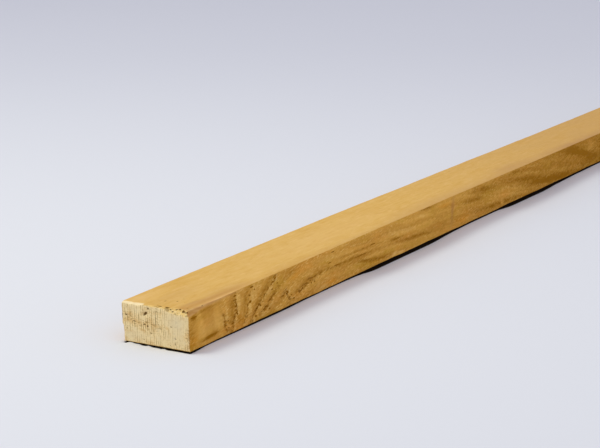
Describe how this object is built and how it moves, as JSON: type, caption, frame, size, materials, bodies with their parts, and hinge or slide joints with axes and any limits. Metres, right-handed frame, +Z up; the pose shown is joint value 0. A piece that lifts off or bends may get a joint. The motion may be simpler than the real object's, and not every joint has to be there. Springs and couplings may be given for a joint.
{
  "type": "sawn timber batten",
  "caption": "Straight sawn softwood batten of rectangular section, laid flat, for roofing, framing and fixing out.",
  "frame": {"origin": "middle of the underside, on the surface that the batten lies on", "axes": "+X along the length away from the end with the worn corner, +Y across the wide face, +Z up through the thickness"},
  "size_m": [1.8, 0.05, 0.025],
  "materials": {
    "sawn_softwood": "rough sawn, preservative treated with a golden tint, ends cut bare"
  },
  "bodies": {
    "root": {"plank": "sawn_softwood"}
  },
  "joints": []
}
